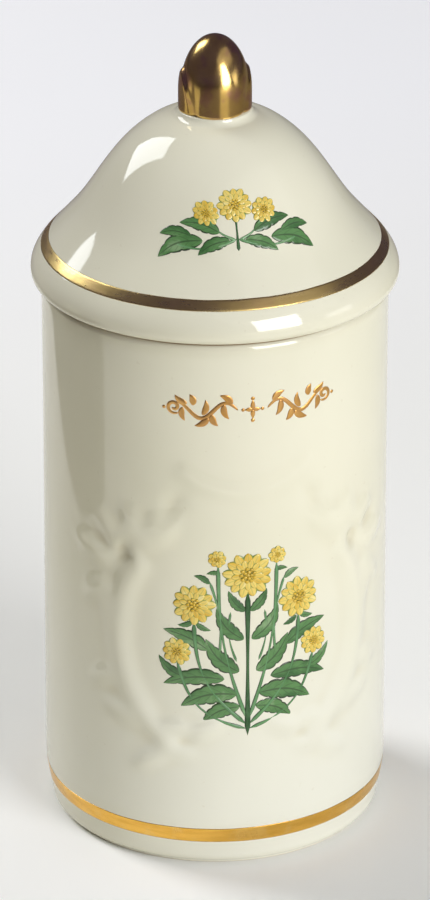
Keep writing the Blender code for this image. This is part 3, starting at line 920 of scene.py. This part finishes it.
def drawn_posy():
    """The jar's posy: round blossoms over a fan of scalloped leaves, with stems that cross."""
    stems = (
        ((0.1, 21.6), (3.8, 44), 0.05, 0.3), ((0.1, 20.9), (6.9, 36), 0.13, 0.32),
        ((0.1, 20.3), (9.1, 30), 0.17, 0.28), ((0, 19.3), (0, 40), 0, 0.4),
        ((3.6, 31.2), (4.9, 41.6), -0.06, 0.2), ((1.4, 30), (2.2, 37.2), 0.08, 0.18),
    )
    leaves = (
        ((1.4, 25.4), (8.6, 23.6), 0.12, 1.5), ((3, 27.6), (10.9, 26.6), 0.1, 1.25),
        ((1.1, 28.6), (5.4, 33.4), -0.1, 1.25), ((0.5, 33.2), (4, 37.8), -0.12, 1.05),
        ((1, 23.6), (6, 20.9), 0.14, 1.15), ((5, 31.8), (10.9, 34.4), 0.08, 1.1),
        ((7.6, 27.8), (11.5, 30.6), -0.14, 0.8), ((0.3, 37.2), (2.5, 40.2), -0.1, 0.7),
        ((6.6, 35.6), (4.7, 34.6), 0.1, 0.42), ((7, 35.8), (9, 35.2), -0.1, 0.42),
        ((3.5, 42.6), (5.3, 42.6), 0.1, 0.36), ((4.9, 41.2), (6.9, 42.3), 0.12, 0.46),
    )
    blossoms = (
        ((0, 42.3), 3.3, 13, 90), ((-6.9, 38.2), 2.9, 12, 30), ((6.9, 38.2), 2.9, 12, 5),
        ((-9.1, 31.4), 2, 10, 0), ((9.1, 31.4), 2, 10, 20),
        ((-3.9, 44.7), 1.25, 8, 15), ((3.9, 44.7), 1.25, 8, 40),
    )
    return drawing(on_wall, (0.3 * MM, 0), stems, leaves, blossoms, 5)


def drawn_lid_sprig():
    """The lid's sprig: three blossoms in a row over two pairs of scalloped leaves."""
    stems = (
        ((0.2, -1.6), (3.6, 1.6), 0.12, 0.22), ((0, -1.4), (8.2, -2.2), 0.1, 0.22),
        ((0, -3), (0, 2.4), 0, 0.24),
    )
    leaves = (
        ((2.2, -0.6), (7.2, 0.5), 0.12, 1), ((4.4, -1.6), (10.5, -4.2), 0.12, 1.15),
        ((1, -1.6), (5.2, -3.5), 0.1, 0.9), ((5.8, -1.1), (10, -1.2), 0.12, 0.8),
    )
    blossoms = (((0, 2.9), 2.3, 12, 90), ((-3.7, 1.9), 1.75, 10, 20), ((3.7, 1.9), 1.75, 10, 2))
    return drawing(on_dome, (0, 0), stems, leaves, blossoms, 4)


def drawn_scroll():
    """The gilt scroll over the posy: a wave on each side of a lozenge, with leaves and curls."""
    def at(x, y):
        return ((x + 0.9) * MM, (y + 65.4) * MM)

    def line_of_gold(path, wide):
        t = np.clip(np.linspace(0, 1, len(path)), 0.01, 0.99)
        return stroke(path, wide * MM * np.sin(math.pi * t) ** 0.3, SCROLL_RISE, on_wall, sides=10)

    strokes = []
    for side in (-1, 1):
        x = np.linspace(1.9, 9.6, 60)
        y = 1.05 * np.sin((x - 1.9) / 7.7 * TURN * 1.25)
        curl = spiral_path(at(side * 10, 0.35), 0.95 * MM, 90 + 140 * side, side * 1.3, 35)
        strokes += [line_of_gold(np.stack(at(side * x, y), 1), 0.29), line_of_gold(curl, 0.26)]
        for start, end, sag, wide in (
            ((2.6, 0.9), (4.2, 2.1), 0.12, 0.36), ((3.6, 0.9), (3, -1.2), 0.16, 0.34),
            ((5.2, -0.5), (4.4, -2.1), 0.14, 0.36), ((5.6, -1), (7.4, -2.1), -0.12, 0.36),
            ((6.4, -0.6), (6, 1.5), 0.14, 0.34), ((7.6, 0.7), (8, 2.2), 0.14, 0.36),
            ((8.3, 0.9), (9.9, 2), -0.12, 0.34), ((8.9, 0.4), (8.6, -1.5), 0.14, 0.32),
        ):
            strokes.append(leaf(at(side * start[0], start[1]), at(side * end[0], end[1]),
                                side * sag, 1.25 * wide * MM, on_wall))
    for x, y, size in ((0, 1.5, 0.26), (0, -1.5, 0.26), (1.25, 0, 0.24), (-1.25, 0, 0.24),
                       (11.3, 0.2, 0.24), (-11.3, 0.2, 0.24)):
        strokes.append(dot(at(x, y), size * MM, on_wall, high=0.3))
    for x, y in ((1.05, 0), (0, 1.3), (-1.05, 0), (0, -1.3)):
        strokes.append(leaf(at(0, 0), at(x, y), 0, 0.3 * MM, on_wall))
    return strokes


def make_ornaments(gilt):
    green = enamel("leaf_enamel", (0.25, 0.4, 0.21), (0.105, 0.25, 0.085),
                   (0.05, 0.145, 0.045), (0.035, 0.055, 0.03), edge=0.8, rib=0.7,
                   veins=0.35)
    stalk = enamel("stem_enamel", (0.28, 0.46, 0.26), (0.13, 0.3, 0.13),
                   (0.065, 0.19, 0.07), (0.035, 0.075, 0.035), edge=0.74)
    yellow = enamel("petal_enamel", (0.9, 0.82, 0.42), (0.82, 0.64, 0.16),
                    (0.72, 0.47, 0.06), (0.2, 0.29, 0.08), edge=0.7, rib=0.3)
    heart = enamel("heart_enamel", (0.86, 0.72, 0.26), (0.68, 0.46, 0.05),
                   (0.48, 0.33, 0.04), (0.2, 0.24, 0.05), edge=0.8)
    for body, strokes in (("jar", drawn_posy()), ("lid", drawn_lid_sprig())):
        parts = (("stems", stalk), ("leaves", green), ("petals", yellow), ("hearts", heart))
        for (part, finish), drawn in zip(parts, strokes):
            make_piece(f"{body}_sprig_{part}", drawn, finish, body)
    make_piece("jar_gilt_scroll", drawn_scroll(), gilt, "jar")


# Studio

CAMERA_AZIMUTH = -10.0
CAMERA_ELEVATION = 25.0
CAMERA_DISTANCE = 758.2 * MM
CAMERA_TARGET = Vector((0, 0, 49.6 * MM))
FOCAL_PIXELS = 5829
IMAGE_HEIGHT = 900
SENSOR = 36.0

LAMP_AIM = Vector((0, 0, 70 * MM))
LAMP_DISTANCE = 1.0
ROOM_FILL = 0.012
ROOM_GLOSS = 0.12

FLOOR_REACH = 3.0
FLOOR_DROP = 0.02 * MM

# What reflections see: the sheet's edge, a dark gap left of the jar, two cards beyond it by their
# azimuths in radians and their reach, and the room's lighter part to the right
SHEET_EDGE = (192 * MM, 206 * MM)
GAP_SIDE = (-110 * MM, -114 * MM)
GAP_FRONT = (-20 * MM, -14 * MM)
CARDS = (((-1.53, -1.49), (-1.18, -1.22)), ((-1.92, -1.88), (-1.66, -1.7)))
CARD_REACH = (0.8, 0.6)
LIGHTER_FROM = (0.02, 0.2)
LIGHTER_TO = (0.5, 0.75)

# What the camera sees: painted shade that greys the front, a painted blue glow at the back, and the
# far sheet as pale as the world
PAINTED_FRONT_SHADE = (0, -22 * MM)
PAINTED_BACK_GLOW = (90 * MM, 260 * MM)
FAR_SHEET = (0.28, 0.9)


def towards(azimuth, elevation):
    """The direction at this azimuth from the front, counted towards the right, and elevation."""
    a, e = math.radians(azimuth), math.radians(elevation)
    return Vector((math.sin(a) * math.cos(e), -math.cos(a) * math.cos(e), math.sin(e)))


def looking(target, distance, azimuth, elevation, roll=0):
    """The placing of a camera or a lamp that looks at the target from this far off."""
    way = towards(azimuth, elevation)
    turn = (-way).to_track_quat("-Z", "Y").to_matrix().to_4x4()
    roll = Matrix.Rotation(math.radians(roll), 4, "Z")
    return Matrix.Translation(target + distance * way) @ turn @ roll


def make_camera():
    data = bpy.data.cameras.new("camera")
    data.sensor_width = SENSOR
    data.lens = FOCAL_PIXELS * SENSOR / IMAGE_HEIGHT
    data.clip_start = 0.01
    camera = put_up("camera", data)
    camera.matrix_world = looking(CAMERA_TARGET, CAMERA_DISTANCE, CAMERA_AZIMUTH, CAMERA_ELEVATION)
    bpy.context.scene.camera = camera


def make_lamps():
    """Softboxes that face the lid: azimuth, elevation and roll in degrees, width and height in
    metres, and watts. One that isn't mirrored gives light but shows in no glossy surface."""
    for name, azimuth, elevation, roll, wide, high, power, colour, mirrored in (
        ("key_box", 29, 15.5, 0, 0.5, 0.62, 8.1, (1, 0.988, 0.975), True),
        ("glow_panel", 38, 43, 0, 1.3, 0.6, 1, (1, 0.98, 0.95), True),
        ("side_panel", 70, 1, 0, 0.35, 0.3, 0.5, (1, 0.98, 0.95), True),
        ("rim_box", -132.4, 38, -10, 0.375, 0.57, 4, (0.94, 0.97, 1), True),
        ("rim_fill", -131, 34.2, 0, 0.325, 0.4, 2.5, (1, 0.9, 0.77), False),
        ("ceiling", 0, 90, 0, 1.5, 1.5, 4.4, (1, 0.97, 0.91), False),
    ):
        data = bpy.data.lights.new(name, "AREA")
        data.shape, data.size, data.size_y = "RECTANGLE", wide, high
        data.energy, data.color = power, colour
        lamp = put_up(name, data)
        lamp.matrix_world = looking(LAMP_AIM, LAMP_DISTANCE, azimuth, elevation, roll)
        lamp.visible_glossy = mirrored


def make_floor():
    """A pale sheet, seen pale by the camera and near the jar in gold and glaze too. Further off,
    for everything but the camera, a dark room takes its place, with two cards to the left."""
    mesh = bpy.data.meshes.new("floor")
    corners = [(x * FLOOR_REACH, y * FLOOR_REACH, -FLOOR_DROP)
               for x, y in ((-1, -1), (1, -1), (1, 1), (-1, 1))]
    mesh.from_pydata(corners, [], [(0, 1, 2, 3)])
    floor = put_up("floor", mesh)
    f = Finish("pale_sheet", {"Roughness": 0.9, "Emission Strength": 1.0})
    x, y, _ = f.parts(f.place())
    away = (x * x + y * y) ** 0.5
    azimuth = x.bearing(y * -1)
    camera, glossy, transmitted = (
        f.add("ShaderNodeLightPath", output=f"Is {ray} Ray")
        for ray in ("Camera", "Glossy", "Transmission"))
    outer = away.step(*SHEET_EDGE)
    gap = x.step(*GAP_SIDE) * y.step(*GAP_FRONT) * (1 - outer)
    cards = [azimuth.step(*start) * azimuth.step(*end) for start, end in CARDS]
    card = cards[0].most(cards[1]) * away.step(*CARD_REACH)
    right = azimuth.step(*LIGHTER_FROM) * (1 - azimuth.step(*LIGHTER_TO) * 0.75)
    far = outer * (1 - camera) * (1 - card.most(right) * 0.8)
    dark = gap * (1 - camera)
    seen = camera.most(glossy * (1 - outer)).most(transmitted)
    pale = f.mix(seen, (0.8, 0.76, 0.6), (0.965, 0.985, 1))
    pale = f.mix(f.noise(30) * 0.05, pale, (0.6, 0.6, 0.62))
    # painted shade: the camera sees the front of the sheet greyer
    pale = f.mix(camera * y.step(*PAINTED_FRONT_SHADE), pale, (0.915, 0.93, 0.945))
    pale = f.mix(far, pale, (0.15, 0.125, 0.15))
    black = (0, 0, 0)
    # painted light: a faint blue glow from the sheet's own emission brightens its back for the
    # camera
    sheet_glow = f.mix(camera * y.step(*PAINTED_BACK_GLOW), black, (0.045, 0.046, 0.09))
    distant = camera * away.step(*FAR_SHEET)
    pale = f.mix(distant, pale, black)
    sheet_glow = f.mix(distant, sheet_glow, (0.8, 0.81, 0.85))
    mesh.materials.append(f.wear(colour=f.mix(dark, pale, (0.03, 0.03, 0.03)), emission=sheet_glow))


def make_world():
    """A dim warm room that fills the shadows, darker still in gloss, pale to the camera."""
    world = bpy.data.worlds.new("studio")
    bpy.context.scene.world = world
    world.use_nodes = True
    world.node_tree.nodes.clear()
    nodes, seen = Nodes(world.node_tree), None
    for colour, strength, ray in (
        ((1, 0.95, 0.86), ROOM_FILL, None),
        ((0.62, 0.5, 1), ROOM_GLOSS, "Is Glossy Ray"),
        ((0.8, 0.81, 0.85), 1, "Is Camera Ray"),
    ):
        light = nodes.add("ShaderNodeBackground", None, ((*colour, 1), strength))
        if ray:
            share = nodes.add("ShaderNodeLightPath", output=ray)
            light = nodes.add("ShaderNodeMixShader", None, (share, seen, light))
        seen = light
    nodes.add("ShaderNodeOutputWorld", None, (seen,))


def main():
    glaze = ivory_glaze()
    foot_gilt = gilding("foot_gilt", (0.86, 0.5, 0.1), (0.76, 0.42, 0.075),
                        (0.8, 0.55, 0.2), 0.24, stretch=6, lustre_share=0.3)
    rim_gilt = gilding("rim_gilt", (0.78, 0.59, 0.23), (0.68, 0.5, 0.18),
                       (0.58, 0.39, 0.18), 0.31, stretch=6)
    bud_gilt = gilding("bud_gilt", (0.82, 0.58, 0.2), (0.66, 0.44, 0.14),
                       (0.54, 0.27, 0.2), 0.16, lustre_share=0.7, dull=DULL_BUD)
    scroll_gilt = gilding("scroll_gilt", (0.74, 0.42, 0.14), (0.62, 0.33, 0.09),
                          (0.55, 0.3, 0.12), 0.34)
    make_jar(glaze, foot_gilt)
    make_lid(glaze, rim_gilt)
    make_seal(soft_seal())
    make_bud(bud_gilt)
    make_ornaments(scroll_gilt)
    make_camera()
    make_floor()
    make_world()
    make_lamps()
    bpy.context.scene.view_settings.view_transform = "Standard"


main()
